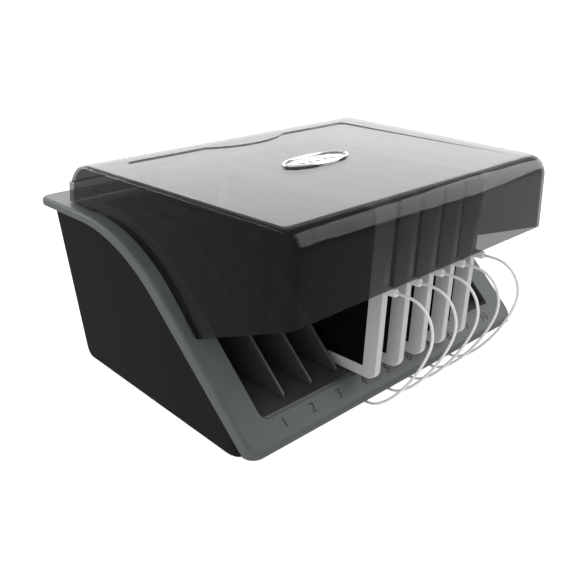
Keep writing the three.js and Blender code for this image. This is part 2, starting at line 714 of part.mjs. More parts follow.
// A tablet's own axes: along its length, up its height and through its thickness
function tabletFrame(bay) {
  const along = new THREE.Vector3(0, Math.cos(TRAY.slope), -Math.sin(TRAY.slope));
  const upright = new THREE.Vector3(0, Math.sin(TRAY.slope), Math.cos(TRAY.slope));
  const right = new THREE.Vector3(1, 0, 0);
  const up = upright.clone().multiplyScalar(Math.cos(TABLET.lean))
    .addScaledVector(right, Math.sin(TABLET.lean));
  const through = along.clone().cross(up);
  const drop = TABLET.thick * Math.sin(TABLET.lean);
  const corner = new THREE.Vector3(
    bayX(bay) + TABLET.offset, TABLET.front, trayTop(TABLET.front) + drop + GAP);
  return new THREE.Matrix4().makeBasis(along, up, through).setPosition(corner);
}

function tube(points, diameter, steps) {
  const curve = new THREE.CatmullRomCurve3(points, false, 'centripetal');
  const ring = oval(0, 0, diameter / 2, diameter / 2, 8).map(([u, v]) => new THREE.Vector2(u, v));
  return new THREE.ExtrudeGeometry(new THREE.Shape(ring), { steps, extrudePath: curve, bevelEnabled: false });
}

// A plug's tapered strain relief along its own -x, from one round section to a smaller one
function relief(from, length, wide, narrow) {
  const geometry = new THREE.CylinderGeometry(narrow / 2, wide / 2, length, 10);
  geometry.rotateZ(Math.PI / 2);
  geometry.translate(from - length / 2, 0, 0);
  return solid(geometry);
}

function makeTablet(bay) {
  const { length, height, thick, corner } = TABLET;
  const outline = [
    ...arc(length - corner, corner, corner, -90, 0, 3),
    ...arc(length - corner, height - corner, corner, 0, 90, 3),
    ...arc(corner, height - corner, corner, 90, 180, 3),
    ...arc(corner, corner, corner, 180, 270, 3),
  ];
  const mesh = part(`tablet_${bay}`, 'tablet', extrude(outline, thick));
  mesh.applyMatrix4(tabletFrame(bay));
}

function makeDevicePlug(bay) {
  const { wide, thick, length, relief: tail, neck, tip, rise } = DEVICE_PLUG;
  const body = box([-GAP - length, -wide / 2, -thick / 2], [-GAP, wide / 2, thick / 2]);
  const boot = relief(-GAP - length + SUNK, tail + SUNK, neck, tip);
  const mesh = part(`device_plug_${bay}`, 'white', join(body, boot));
  const middle = new THREE.Matrix4().makeTranslation(0, TABLET.height / 2 + rise, TABLET.thick / 2);
  mesh.applyMatrix4(tabletFrame(bay).multiply(middle));
}

function makeUsbPlug(bay) {
  const { wide, thick, length, relief: tail, neck, tip, shell: tongue, slot: gap } = USB_PLUG;
  const x = bayX(bay);
  const face = TUB.front - GAP;
  const body = box([x - wide / 2, face - length, USB.z - thick / 2], [x + wide / 2, face, USB.z + thick / 2]);
  const shell = box(
    [x - tongue.wide / 2, face - SUNK, USB.z - tongue.thick / 2],
    [x + tongue.wide / 2, face + tongue.reach, USB.z + tongue.thick / 2]);
  const slot = box(
    [x - gap.wide / 2, face + gap.from, USB.z],
    [x + gap.wide / 2, face + tongue.reach + PAST, USB.z + gap.tall]);
  const boot = solid(new THREE.CylinderGeometry(neck / 2, tip / 2, tail + SUNK, 10)
    .translate(x, face - length - (tail - SUNK) / 2, USB.z));
  return join(cut(join(body, shell), slot), boot);
}

// The lead hangs in one loop in front of the station: out of the device's plug,
// down in front of the numbered nose, and back under it to its socket
function leadRoute(bay) {
  const start = new THREE.Vector3(
    -GAP * 2 - DEVICE_PLUG.length - DEVICE_PLUG.relief,
    TABLET.height / 2 + DEVICE_PLUG.rise, TABLET.thick / 2);
  const matrix = tabletFrame(bay);
  const leave = start.clone().add(new THREE.Vector3(-6, 0, 0)).applyMatrix4(matrix);
  start.applyMatrix4(matrix);
  const end = new THREE.Vector3(
    bayX(bay), TUB.front - GAP * 2 - USB_PLUG.length - USB_PLUG.relief, USB.z);
  const loop = [
    [-188, 138.3], [-197, 134.4], [-204.3, 127.3], [-208.8, 117.6], [-209.6, 106], [-207, 94.5],
    [-202.6, 83], [-196.9, 71], [-190, 59], [-182, 47.5], [-172.6, 36], [-162.5, 26.6],
    [-152.5, 20.4],
  ];
  const places = loop.map(([y, z], i) => {
    const share = (i + 1) / (loop.length + 1);
    return new THREE.Vector3(leave.x + (end.x - leave.x) * share, y, z);
  });
  return [start, leave, ...places, end.clone().add(new THREE.Vector3(0, -5, 0)), end];
}

// ---------------------------------------------------------------- assembly

part('base_bin', 'black', makeTub());
part('rim_frame', 'grey', makeFrame());
part('device_tray', 'tray', makeTray());
makeFeet();
makeCaseScrews();
part('charger_board', 'board', makeBoard());
makeBoardScrews();
part('dc_inlet', 'black', makeInlet());
part('switch_housing', 'black', makeSwitchHousing());
part('power_rocker', 'rubber', makeRocker());
part('power_lead', 'lead', makeLead());

part('lid_shell', 'smoke', makeLid());
makeBumpers().forEach((bumper, i) => part(`lid_bumper_${i + 1}`, 'rubber', bumper));
makeBadge();
makeHinges();

dividerXs().forEach((x, i) => {
  const half = DIVIDER.thick / 2;
  part(`divider_${i + 1}`, 'tray', prism('x', dividerOutline(), x - half, x + half));
});

part('usb_bank_left', 'steel', makeUsbBank(BAY_NUMBERS.slice(0, BAYS / 2)));
part('usb_bank_right', 'steel', makeUsbBank(BAY_NUMBERS.slice(BAYS / 2)));

for (const bay of TABLET.bays) {
  makeTablet(bay);
  makeDevicePlug(bay);
  part(`usb_plug_${bay}`, 'white', makeUsbPlug(bay));
  part(`cable_${bay}`, 'white', tube(leadRoute(bay), CORD, 36));
}

export default group;
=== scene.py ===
# Looks of a ten-bay charging station with a smoked lid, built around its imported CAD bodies.
# Metres, +X to the right, +Y to the back, +Z up. Every place comes from the frame's boxes or
# from the same driving dimensions as the CAD source.

import math

import bmesh
import bpy
from mathutils import Matrix, Vector


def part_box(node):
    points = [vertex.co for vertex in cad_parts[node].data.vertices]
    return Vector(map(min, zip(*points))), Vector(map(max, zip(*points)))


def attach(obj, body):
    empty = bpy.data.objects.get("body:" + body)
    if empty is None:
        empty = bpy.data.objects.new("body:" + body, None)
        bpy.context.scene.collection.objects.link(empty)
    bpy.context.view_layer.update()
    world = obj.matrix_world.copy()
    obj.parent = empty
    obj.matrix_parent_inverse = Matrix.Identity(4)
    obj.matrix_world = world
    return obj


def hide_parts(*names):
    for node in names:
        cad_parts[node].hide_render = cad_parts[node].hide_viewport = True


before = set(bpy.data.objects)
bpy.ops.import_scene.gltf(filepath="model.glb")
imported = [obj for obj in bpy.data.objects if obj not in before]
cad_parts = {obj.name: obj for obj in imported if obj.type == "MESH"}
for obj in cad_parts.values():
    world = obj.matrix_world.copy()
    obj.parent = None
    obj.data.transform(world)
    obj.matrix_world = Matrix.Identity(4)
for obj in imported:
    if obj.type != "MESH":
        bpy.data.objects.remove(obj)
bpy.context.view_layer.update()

# ---------------------------------------------------------------- driving dimensions

PITCH = 0.034  # centre to centre of two bays
BAYS = 10
CLEAR = 0.0003  # gap between pieces that touch
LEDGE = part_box("rim_frame")[1].z
SLOPE = math.radians(43)
NUMBERS_Y, NUMBERS_Z = -0.139, 0.040  # the numbered line on the slope
ARCH = 0.180  # radius of the side arms' arch

FRAME_FRONT, FRAME_REAR = -0.149, 0.177
FRAME_HALF = (0.1992, 0.2074)  # at the front and at the rear
FRAME_CORNER = 0.012
FRAME_EDGE = 0.0032  # rounding of the frame's outer edge
FLANGE = (0.013, 0.008)  # its depth below the slope and below the ledge
FLANGE_WALL, SKIN = 0.0025, 0.003
FRAME_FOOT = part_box("rim_frame")[0].z
MOUTH = {"front": -0.13205, "rear": 0.112, "half": 0.1717, "corner": 0.0065}

TUB = {"low": 0.002, "half": 0.187, "front": -0.116, "rear": 0.166, "corner": 0.010}
TUB_WALL, TUB_FLOOR, TUB_LEAN, TUB_FOOT, TUB_DRAFT = 0.0025, 0.003, 0.0094, 0.012, 0.365
TUB_NOSE_Y, TUB_NOSE_RADIUS = -0.095, 0.066
TUB_TOP = LEDGE - SKIN - CLEAR
TUB_FRONT_TOP = 0.042
TUB_EDGE = 0.003

TRAY_FRONT_Z, TRAY_SLOPE = 0.0485, math.radians(2)

LID_FRONT, LID_REAR, LID_TOP = -0.177, 0.134, 0.227
LID_HALF = (0.1744, 0.191)
LID_LOW, LID_HEEL, LID_SEAT = 0.1515, -0.0685, 0.001
LID_WALL, LID_CORNER, LID_DRAFT = 0.0026, 0.005, 0.46
LID_FRONT_ROUND, LID_REAR_ROUND, LID_EDGE = 0.020, 0.030, 0.0045
SCOOP_HALF, SCOOP_DEPTH = 0.055, 0.016
SCOOP_RADIUS = (SCOOP_HALF**2 + SCOOP_DEPTH**2) / (2 * SCOOP_DEPTH)
SCOOP_Y = LID_REAR - SCOOP_DEPTH + SCOOP_RADIUS

HINGE_Y, HINGE_Z, HINGE_X, HINGE_HALF = 0.143, 0.1945, 0.095, 0.010

USB_Z = 0.019
TABLETS = (4, 5, 6, 7, 8)  # the bays that hold a tablet
TABLET = {"length": 0.240, "height": 0.1695, "thick": 0.0075, "corner": 0.010}
TABLET_FRONT, TABLET_OFFSET, TABLET_LEAN = -0.1585, -0.0076, math.radians(6)
CORD = 0.0027
DEVICE_PLUG = {
    "wide": 0.0078, "thick": 0.0048, "length": 0.012, "relief": 0.002, "neck": 0.0042, "rise": 0.0042,
}
USB_PLUG = {"wide": 0.015, "thick": 0.0074, "length": 0.0175, "relief": 0.007, "neck": 0.0052}
USB_SHELL = {"wide": 0.012, "thick": 0.0045, "length": 0.011, "hollow": 0.0106, "depth": 0.0018}
PLUG_TIP = 0.0033  # the end of a plug's relief, just wider than its lead


def bay_x(bay):
    return PITCH * (bay - (BAYS + 1) / 2)


def arm(y, inset=0.0, ledge_inset=None):
    """Height of the frame's upper outline, moved inwards on its slope and, if it differs, on its ledge."""
    ledge_inset = inset if ledge_inset is None else ledge_inset
    radius = ARCH - (inset + ledge_inset) / 2
    level = LEDGE - ledge_inset
    corner = NUMBERS_Y + (level - NUMBERS_Z + inset / math.cos(SLOPE)) / math.tan(SLOPE)
    middle = corner + radius * math.tan(SLOPE / 2)
    if y >= middle:
        return level
    if y > middle - radius * math.sin(SLOPE):
        return level - radius + math.sqrt(radius**2 - (y - middle) ** 2)
    return level + (y - corner) * math.tan(SLOPE)


def tray_top(y):
    return TRAY_FRONT_Z - (y - MOUTH["front"]) * math.tan(TRAY_SLOPE)


def mix(a, b, share):
    return a + (b - a) * share


# ---------------------------------------------------------------- camera

camera = bpy.data.objects.new("camera", bpy.data.cameras.new("camera"))
camera.data.lens = 44.72
camera.data.sensor_width = 36
camera.data.clip_start = 0.01
camera.location = (-0.5050, -0.5214, 0.3949)
camera.rotation_euler = (math.radians(66.33), 0, math.radians(-42.92))
bpy.context.scene.collection.objects.link(camera)
bpy.context.scene.camera = camera
bpy.context.scene.view_settings.view_transform = "Standard"

# ---------------------------------------------------------------- materials


def surface(name, colour, rough, specular=0.5, metallic=0.0, alpha=1.0, coat=0.0,
            grain=1400.0, bump=0.15, mottle=0.06, spread=0.08):
    """A moulded or metal finish: fine grain in its relief, faint mottling in colour and gloss."""
    material = bpy.data.materials.new(name)
    material.use_nodes = True
    nodes, links = material.node_tree.nodes, material.node_tree.links
    shader = nodes["Principled BSDF"]
    shader.inputs["Specular IOR Level"].default_value = specular
    shader.inputs["Metallic"].default_value = metallic
    shader.inputs["Alpha"].default_value = alpha
    shader.inputs["Coat Weight"].default_value = coat
    shader.inputs["Coat Roughness"].default_value = 0.12
    where = nodes.new("ShaderNodeTexCoord")

    cloud = nodes.new("ShaderNodeTexNoise")
    cloud.inputs["Scale"].default_value = 34.0
    cloud.inputs["Detail"].default_value = 4.0
    links.new(where.outputs["Object"], cloud.inputs["Vector"])
    ramp = nodes.new("ShaderNodeValToRGB")
    for stop, place, shade in ((0, 0.3, 1 - mottle), (1, 0.7, 1 + mottle)):
        ramp.color_ramp.elements[stop].position = place
        ramp.color_ramp.elements[stop].color = [min(1, c * shade) for c in colour] + [1]
    links.new(cloud.outputs["Fac"], ramp.inputs["Fac"])
    links.new(ramp.outputs["Color"], shader.inputs["Base Color"])

    gloss = nodes.new("ShaderNodeMapRange")
    gloss.inputs["To Min"].default_value = max(0.02, rough - spread / 2)
    gloss.inputs["To Max"].default_value = rough + spread / 2
    links.new(cloud.outputs["Fac"], gloss.inputs["Value"])
    links.new(gloss.outputs["Result"], shader.inputs["Roughness"])

    fine = nodes.new("ShaderNodeTexNoise")
    fine.inputs["Scale"].default_value = grain
    fine.inputs["Detail"].default_value = 3.0
    links.new(where.outputs["Object"], fine.inputs["Vector"])
    relief = nodes.new("ShaderNodeBump")
    relief.inputs["Strength"].default_value = bump
    relief.inputs["Distance"].default_value = 0.0002
    links.new(fine.outputs["Fac"], relief.inputs["Height"])
    links.new(relief.outputs["Normal"], shader.inputs["Normal"])
    return material


def grey(level, tint=(1.0, 1.0, 1.0)):
    return [level * t for t in tint]


COOL = (0.93, 1.02, 1.05)

HOUSING = surface("housing_black", grey(0.0085), 0.55, specular=0.015)
FRAME_GREY = surface("frame_grey", grey(0.078, COOL), 0.42, specular=0.10)
TRAY_GREY = surface("tray_grey", grey(0.042, COOL), 0.5, specular=0.2)
DIVIDER = surface("divider_grey", grey(0.040, (0.97, 1.0, 1.06)), 0.45, specular=0.35)
SMOKE = surface("lid_smoke", grey(0.006), 0.05, specular=0.08, alpha=0.58, bump=0.0, mottle=0.0,
                spread=0.02)
RUBBER = surface("rubber_black", grey(0.006), 0.85, specular=0.2, bump=0.4)
ROCKER = surface("rocker_black", grey(0.010), 0.3, specular=0.4)
STEEL = surface("steel", grey(0.55), 0.32, metallic=1.0, bump=0.08)
SOCKET = surface("socket_steel", grey(0.6), 0.28, metallic=1.0, bump=0.05)
CIRCUIT = surface("circuit_board", (0.012, 0.10, 0.035), 0.45, mottle=0.2)
LEAD = surface("lead_black", grey(0.010), 0.6, specular=0.25)
BADGE = surface("badge_metal", grey(0.12), 0.34, metallic=1.0, grain=2600.0, bump=0.06)
CHROME = surface("badge_chrome", grey(0.34), 0.12, metallic=1.0, bump=0.0, mottle=0.01, spread=0.02)
SHELL_WHITE = surface("tablet_white", grey(0.42), 0.45, specular=0.25, mottle=0.02)
SCREEN = surface("tablet_screen", grey(0.0035), 0.08, specular=0.25, bump=0.0, mottle=0.0, spread=0.02)
PLUG_WHITE = surface("plug_white", grey(0.60), 0.35, specular=0.4, mottle=0.02)
CABLE_WHITE = surface("cable_white", grey(0.56), 0.42, specular=0.4, mottle=0.03)
# Dark colour for the grooves of the engraved bay numbers: painted shade, darker than the grooves' own shading
# would be.
NUMBER_GROOVE_SHADE = surface("number_groove_shade", grey(0.022), 0.6, specular=0.2)

# ---------------------------------------------------------------- mesh tools


def linked(name, mesh):
    piece = bpy.data.objects.new(name, mesh)
    bpy.context.scene.collection.objects.link(piece)
    return piece


def mesh_of(name, points, faces):
    """A closed mesh whose faces all look outwards."""
    made = bmesh.new()
    corners = [made.verts.new(p) for p in points]
    for face in faces:
        made.faces.new([corners[i] for i in face])
    bmesh.ops.recalc_face_normals(made, faces=made.faces)
    mesh = bpy.data.meshes.new(name)
    made.to_mesh(mesh)
    made.free()
    return linked(name, mesh)


def loft(name, rings, closed=False):
    """A skin over rings of equally many points, with its two ends capped unless it closes on itself."""
    count = len(rings[0])
    faces = []
    for k in range(len(rings) if closed else len(rings) - 1):
        first, second = k * count, (k + 1) % len(rings) * count
        for i in range(count):
            j = (i + 1) % count
            faces.append((first + i, first + j, second + j, second + i))
    if not closed:
        faces += [tuple(range(count)), tuple(range((len(rings) - 1) * count, len(rings) * count))]
    return mesh_of(name, [p for ring in rings for p in ring], faces)


def place(axis, u, v, w):
    """A point of an outline (u, v) drawn out along an axis: (y, z) along x, or (x, y) along z."""
    return (w, u, v) if axis == "x" else (u, v, w)


def prism(axis, outline, low, high):
    return loft("tool", [[place(axis, u, v, w) for u, v in outline] for w in (low, high)])


def block(low, high):
    return prism("z", [(low[0], low[1]), (high[0], low[1]), (high[0], high[1]), (low[0], high[1])],
                 low[2], high[2])


def arc(u, v, radius, start, end, steps):
    angles = [math.radians(mix(start, end, i / steps)) for i in range(steps + 1)]
    return [(u + radius * math.cos(a), v + radius * math.sin(a)) for a in angles]


def oval(u, v, a, b, steps):
    angles = [math.tau * i / steps for i in range(steps)]
    return [(u + a * math.cos(t), v + b * math.sin(t)) for t in angles]


def rod(axis, centre, radius, length, steps=32):
    """A round bar from a point along x, y or z."""
    order = {"x": (1, 2, 0), "y": (2, 0, 1), "z": (0, 1, 2)}[axis]
    rings = []
    for w in (0.0, length):
        ring = []
        for u, v in oval(0, 0, radius, radius, steps):
            point = [0.0, 0.0, 0.0]
            for target, value in zip(order, (u, v, w)):
                point[target] = centre[target] + value
            ring.append(tuple(point))
        rings.append(ring)
    return loft("tool", rings)


def shrunk(outline, by):
    """A closed outline, counterclockwise, moved inwards with mitred corners."""
    moved = []
    for i, here in enumerate(outline):
        before, after = outline[i - 1], outline[(i + 1) % len(outline)]
        a = Vector((before[1] - here[1], here[0] - before[0])).normalized()
        b = Vector((here[1] - after[1], after[0] - here[0])).normalized()
        shift = (a + b) / max(0.35, 1 + a.dot(b)) * by
        moved.append((here[0] + shift.x, here[1] + shift.y))
    return moved


def slab(name, axis, outline, low, high, edge, steps=4):
    """An outline drawn out between two places, with its long edges rounded."""
    rings = []
    for side, face in ((1, low), (-1, high)):
        turned = []
        for i in range(steps + 1):
            angle = math.pi / 2 * i / steps
            depth = edge * (1 - math.sin(angle)), edge * (1 - math.cos(angle))
            turned.append([place(axis, u, v, face + side * depth[1])
                           for u, v in shrunk(outline, depth[0])])
        rings += turned if side > 0 else turned[::-1]
    return loft(name, rings)


def baked(piece):
    """Turns a piece's modifiers into mesh."""
    bpy.context.view_layer.update()
    graph = bpy.context.evaluated_depsgraph_get()
    mesh = bpy.data.meshes.new_from_object(piece.evaluated_get(graph), depsgraph=graph)
    piece.modifiers.clear()
    piece.data = mesh
    return piece


def merged(tools):
    """Several pieces as one mesh."""
    made = bmesh.new()
    for tool in tools:
        made.from_mesh(tool.data)
    mesh = bpy.data.meshes.new("tool")
    made.to_mesh(mesh)
    made.free()
    for material in tools[0].data.materials:
        mesh.materials.append(material)
    for tool in tools:
        bpy.data.objects.remove(tool)
    return linked("tool", mesh)


def carve(piece, operation, *tools):
    """Cuts, joins or intersects a piece with tools, which are used up."""
    for tool in tools:
        change = piece.modifiers.new("carve", "BOOLEAN")
        change.operation = operation
        change.solver = "EXACT"
        change.object = tool
        change.material_mode = "TRANSFER"
        baked(piece)
        bpy.data.objects.remove(tool)
    return piece


def finished(piece, name, material, body, nodes=(), sharp=32, weighted=True):
    """Names a piece and gives it its finish, its smooth shading and the body that it moves with."""
    piece.name = piece.data.name = name
    mesh = piece.data
    if piece.type == "MESH":
        if not mesh.materials:
            mesh.materials.append(material)
        elif mesh.materials[0] is None:
            mesh.materials[0] = material
        mesh.shade_smooth()
        mesh.set_sharp_from_angle(angle=math.radians(sharp))
        if weighted:
            normals = piece.modifiers.new("normals", "WEIGHTED_NORMAL")
            normals.keep_sharp = True
    else:
        mesh.materials.append(material)
    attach(piece, body)
    if nodes:
        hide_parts(*nodes)
    return piece


# ---------------------------------------------------------------- cords

# The lead's loop in front of the station, as (y, z), from the tablet's plug down to its socket
LOOP = [
    (-0.1880, 0.1383), (-0.1970, 0.1344), (-0.2043, 0.1273), (-0.2088, 0.1176), (-0.2096, 0.1060),
    (-0.2070, 0.0945), (-0.2026, 0.0830), (-0.1969, 0.0710), (-0.1900, 0.0590), (-0.1820, 0.0475),
    (-0.1726, 0.0360), (-0.1625, 0.0266), (-0.1525, 0.0204),
]


def tablet_matrix(bay):
    """A tablet's own axes: along its length, up its height and through its thickness."""
    along = Vector((0, math.cos(TRAY_SLOPE), -math.sin(TRAY_SLOPE)))
    upright = Vector((0, math.sin(TRAY_SLOPE), math.cos(TRAY_SLOPE)))
    up = upright * math.cos(TABLET_LEAN) + Vector((1, 0, 0)) * math.sin(TABLET_LEAN)
    drop = TABLET["thick"] * math.sin(TABLET_LEAN)
    corner = (bay_x(bay) + TABLET_OFFSET, TABLET_FRONT, tray_top(TABLET_FRONT) + drop + CLEAR)
    matrix = Matrix((along, up, along.cross(up))).transposed().to_4x4()
    return Matrix.Translation(corner) @ matrix


def lead_route(bay):
    """The lead's points from its USB plug to the plug in the tablet."""
    matrix = tablet_matrix(bay)
    reach = 2 * CLEAR + DEVICE_PLUG["length"] + DEVICE_PLUG["relief"]
    middle = (TABLET["height"] / 2 + DEVICE_PLUG["rise"], TABLET["thick"] / 2)
    start = matrix @ Vector((-reach, *middle))
    leave = matrix @ Vector((-reach - 0.006, *middle))
    end = Vector((bay_x(bay), TUB["front"] - 2 * CLEAR - USB_PLUG["length"] - USB_PLUG["relief"], USB_Z))
    hanging = [
        Vector((mix(leave.x, end.x, (i + 1) / (len(LOOP) + 1)), y, z)) for i, (y, z) in enumerate(LOOP)]
    return [end, end + Vector((0, -0.005, 0)), *reversed(hanging), leave, start]


def make_lead(bay):
    curve = bpy.data.curves.new("lead", "CURVE")
    curve.dimensions = "3D"
    curve.bevel_depth = CORD / 2
    curve.bevel_resolution = 4
    curve.resolution_u = 8
    curve.use_fill_caps = True
    spline = curve.splines.new("BEZIER")
    points = lead_route(bay)
    spline.bezier_points.add(len(points) - 1)
    for knot, point in zip(spline.bezier_points, points):
        knot.co = point
        knot.handle_left_type = knot.handle_right_type = "AUTO"
    lead = linked("lead", curve)
    return finished(lead, f"lead_{bay}", CABLE_WHITE, "root", [f"cable_{bay}"])


def section(wide, thick, power, steps=28):
    """A plug's cross-section, from a rounded box (high power) to a circle (power 2)."""
    points = []
    for i in range(steps):
        c, s = math.cos(math.tau * i / steps), math.sin(math.tau * i / steps)
        grow = (abs(c) ** power + abs(s) ** power) ** (-1 / power)
        points.append((wide / 2 * c * grow, thick / 2 * s * grow))
    return points


def plug_rings(size, ribs):
    """Rings along a plug, as (distance from its face, outline): body, shoulder and ribbed relief."""
    wide, thick, length, tail, neck = (size[k] for k in ("wide", "thick", "length", "relief", "neck"))
    soft = 0.0006
    rings = [
        (0.0, section(wide - 2 * soft, thick - 2 * soft, 6)),
        (soft * 0.3, section(wide - soft * 0.6, thick - soft * 0.6, 6)),
        (soft, section(wide, thick, 6)),
        (length - 4 * soft, section(wide, thick, 6)),
        (length - 1.5 * soft, section(wide * 0.94, thick * 0.95, 5)),
        (length - 0.3 * soft, section(wide * 0.78, thick * 0.84, 3.5)),
        (length, section(neck * 1.08, min(neck * 1.08, thick * 0.8), 2.4)),
    ]
    step = tail / ribs
    for i in range(ribs):
        across = mix(neck, PLUG_TIP, (i + 0.5) / ribs)
        at = length + i * step
        rings += [
            (at + step * 0.12, section(across, across, 2)),
            (at + step * 0.62, section(across, across, 2)),
            (at + step * 0.72, section(across * 0.82, across * 0.82, 2)),
            (at + step * 0.96, section(across * 0.82, across * 0.82, 2)),
        ]
    return rings


def make_device_plug(bay):
    middle = (-CLEAR, TABLET["height"] / 2 + DEVICE_PLUG["rise"], TABLET["thick"] / 2)
    matrix = tablet_matrix(bay) @ Matrix.Translation(middle)
    rings = plug_rings(DEVICE_PLUG, 1)
    plug = loft("plug", [[matrix @ Vector((-at, u, v)) for u, v in ring] for at, ring in rings])
    return finished(plug, f"tablet_plug_{bay}", PLUG_WHITE, "root", [f"device_plug_{bay}"])


def make_usb_plug(bay):
    x, face = bay_x(bay), TUB["front"] - CLEAR
    rings = plug_rings(USB_PLUG, 4)
    body = loft("plug", [[(x + u, face - at, USB_Z + v) for u, v in ring] for at, ring in rings])
    finished(body, f"socket_plug_{bay}", PLUG_WHITE, "root", [f"usb_plug_{bay}"])
    outline = section(USB_SHELL["wide"], USB_SHELL["thick"], 10, 40)
    reach, half = USB_SHELL["length"], USB_SHELL["hollow"] / 2
    ends = [(0.0, 1.0), (reach - 0.0005, 1.0), (reach, 0.97)]
    tongue = loft("tongue", [[(x + u * k, face + at, USB_Z + v * k) for u, v in outline] for at, k in ends])
    hollow = block((x - half, face + 0.002, USB_Z), (x + half, face + 2 * reach, USB_Z + USB_SHELL["depth"]))
    carve(tongue, "DIFFERENCE", hollow)
    finished(tongue, f"socket_plug_{bay}_shell", STEEL, "root")
    return body, tongue


for bay in TABLETS:
    lead = make_lead(bay)
    ends = [*make_usb_plug(bay), make_device_plug(bay)]

# ---------------------------------------------------------------- shared plan outline

END_STEPS, CORNER_STEPS, SIDE_STEPS = 12, 8, 44
HEEL_SHARE = (LID_HEEL - LID_FRONT - LID_CORNER) / (LID_REAR - LID_FRONT - 2 * LID_CORNER)
SIDE_SHARES = sorted({i / SIDE_STEPS for i in range(1, SIDE_STEPS)} | {HEEL_SHARE})


def plan(front, rear, half_front, half_rear, corner):
    """A rounded plan view, wider at the back, always with the same number of points."""
    def straight(a, b, shares):
        return [(mix(a[0], b[0], s), mix(a[1], b[1], s)) for s in shares]

    along = [i / END_STEPS for i in range(1, END_STEPS)]
    corners = [
        arc(half_front - corner, front + corner, corner, -90, 0, CORNER_STEPS),
        arc(half_rear - corner, rear - corner, corner, 0, 90, CORNER_STEPS),
        arc(-half_rear + corner, rear - corner, corner, 90, 180, CORNER_STEPS),
        arc(-half_front + corner, front + corner, corner, 180, 270, CORNER_STEPS),
    ]
    backwards = [1 - s for s in reversed(SIDE_SHARES)]
    return [
        *corners[0], *straight(corners[0][-1], corners[1][0], SIDE_SHARES),
        *corners[1], *straight(corners[1][-1], corners[2][0], along),
        *corners[2], *straight(corners[2][-1], corners[3][0], backwards),
        *corners[3], *straight(corners[3][-1], corners[0][0], along),
    ]


# ---------------------------------------------------------------- frame


def frame_plan(inset):
    return plan(FRAME_FRONT + inset, FRAME_REAR - inset, FRAME_HALF[0] - inset, FRAME_HALF[1] - inset,
                FRAME_CORNER - inset)


def mouth_plan(out):
    return plan(MOUTH["front"] - out, MOUTH["rear"] + out, MOUTH["half"] + out, MOUTH["half"] + out,
                MOUTH["corner"] + out)


def between(a, b, share):
    return [(mix(p[0], q[0], share), mix(p[1], q[1], share)) for p, q in zip(a, b)]


def on_arm(outline, inset=0.0, drop=0.0):
    return [(x, y, arm(y, inset) - drop) for x, y in outline]


def frame_foot(outline):
    return [(x, y, max(FRAME_FOOT, arm(y, *FLANGE))) for x, y in outline]


def make_frame():
    shares = [i / 8 for i in range(1, 8)]
    lip, hem, turns = 0.0003, 0.0006, 6
    top = [on_arm(frame_plan(0), drop=FRAME_EDGE)]
    for i in range(1, turns + 1):
        angle = math.pi / 2 * i / turns
        inset = FRAME_EDGE * (1 - math.cos(angle))
        top.append(on_arm(frame_plan(inset), drop=FRAME_EDGE * (1 - math.sin(angle))))
    inner = frame_plan(FRAME_EDGE + 0.0004)
    edge = mouth_plan(lip)
    top += [on_arm(inner), *[on_arm(between(inner, edge, s)) for s in shares], on_arm(edge)]
    top += [on_arm(mouth_plan(lip * 0.3), drop=lip * 0.3), on_arm(mouth_plan(0), drop=lip)]
    wall = frame_plan(FLANGE_WALL)
    under = [on_arm(mouth_plan(0), SKIN)]
    under += [on_arm(between(mouth_plan(0), wall, s), SKIN) for s in shares]
    under += [on_arm(wall, SKIN), frame_foot(wall)]
    foot = [frame_foot(frame_plan(hem)), [(x, y, z + hem) for x, y, z in frame_foot(frame_plan(0))]]
    rim = loft("frame", under + foot + top, closed=True)
    rim.data.materials.append(FRAME_GREY)
    carve(rim, "DIFFERENCE", numerals())
    return finished(rim, "rim", FRAME_GREY, "root", ["rim_frame"])


def numerals():
    """The numbers 1 to 10, standing in the slope, as one cutting tool; its dark material paints shade into
    the grooves it cuts.
    """
    height, depth = 0.0132, 0.0005
    lean = Matrix.Rotation(SLOPE, 4, "X")
    figures = []
    for bay in range(1, BAYS + 1):
        text = bpy.data.curves.new("figure", "FONT")
        text.body = str(bay)
        text.size = height
        text.align_x = "CENTER"
        text.align_y = "CENTER"
        text.extrude = depth
        text.resolution_u = 4
        figure = baked_text(linked("figure", text))
        figure.data.transform(Matrix.Translation((bay_x(bay), NUMBERS_Y, NUMBERS_Z)) @ lean)
        # The tool's dark material passes to the groove faces as painted shade in the engraved figures.
        figure.data.materials.clear()
        figure.data.materials.append(NUMBER_GROOVE_SHADE)
        figures.append(figure)
    return merged(figures)


def baked_text(text):
    bpy.context.view_layer.update()
    graph = bpy.context.evaluated_depsgraph_get()
    mesh = bpy.data.meshes.new_from_object(text.evaluated_get(graph), depsgraph=graph)
    bpy.data.objects.remove(text)
    made = bmesh.new()
    made.from_mesh(mesh)
    bmesh.ops.remove_doubles(made, verts=made.verts, dist=1e-6)
    bmesh.ops.recalc_face_normals(made, faces=made.faces)
    made.to_mesh(mesh)
    made.free()
    return linked("figure", mesh)


make_frame()

# ---------------------------------------------------------------- tub


def rounded(radius, depth):
    """How far a quarter-round edge stands back at a depth below its crown."""
    return radius - math.sqrt(max(0.0, radius**2 - max(0.0, radius - depth) ** 2))


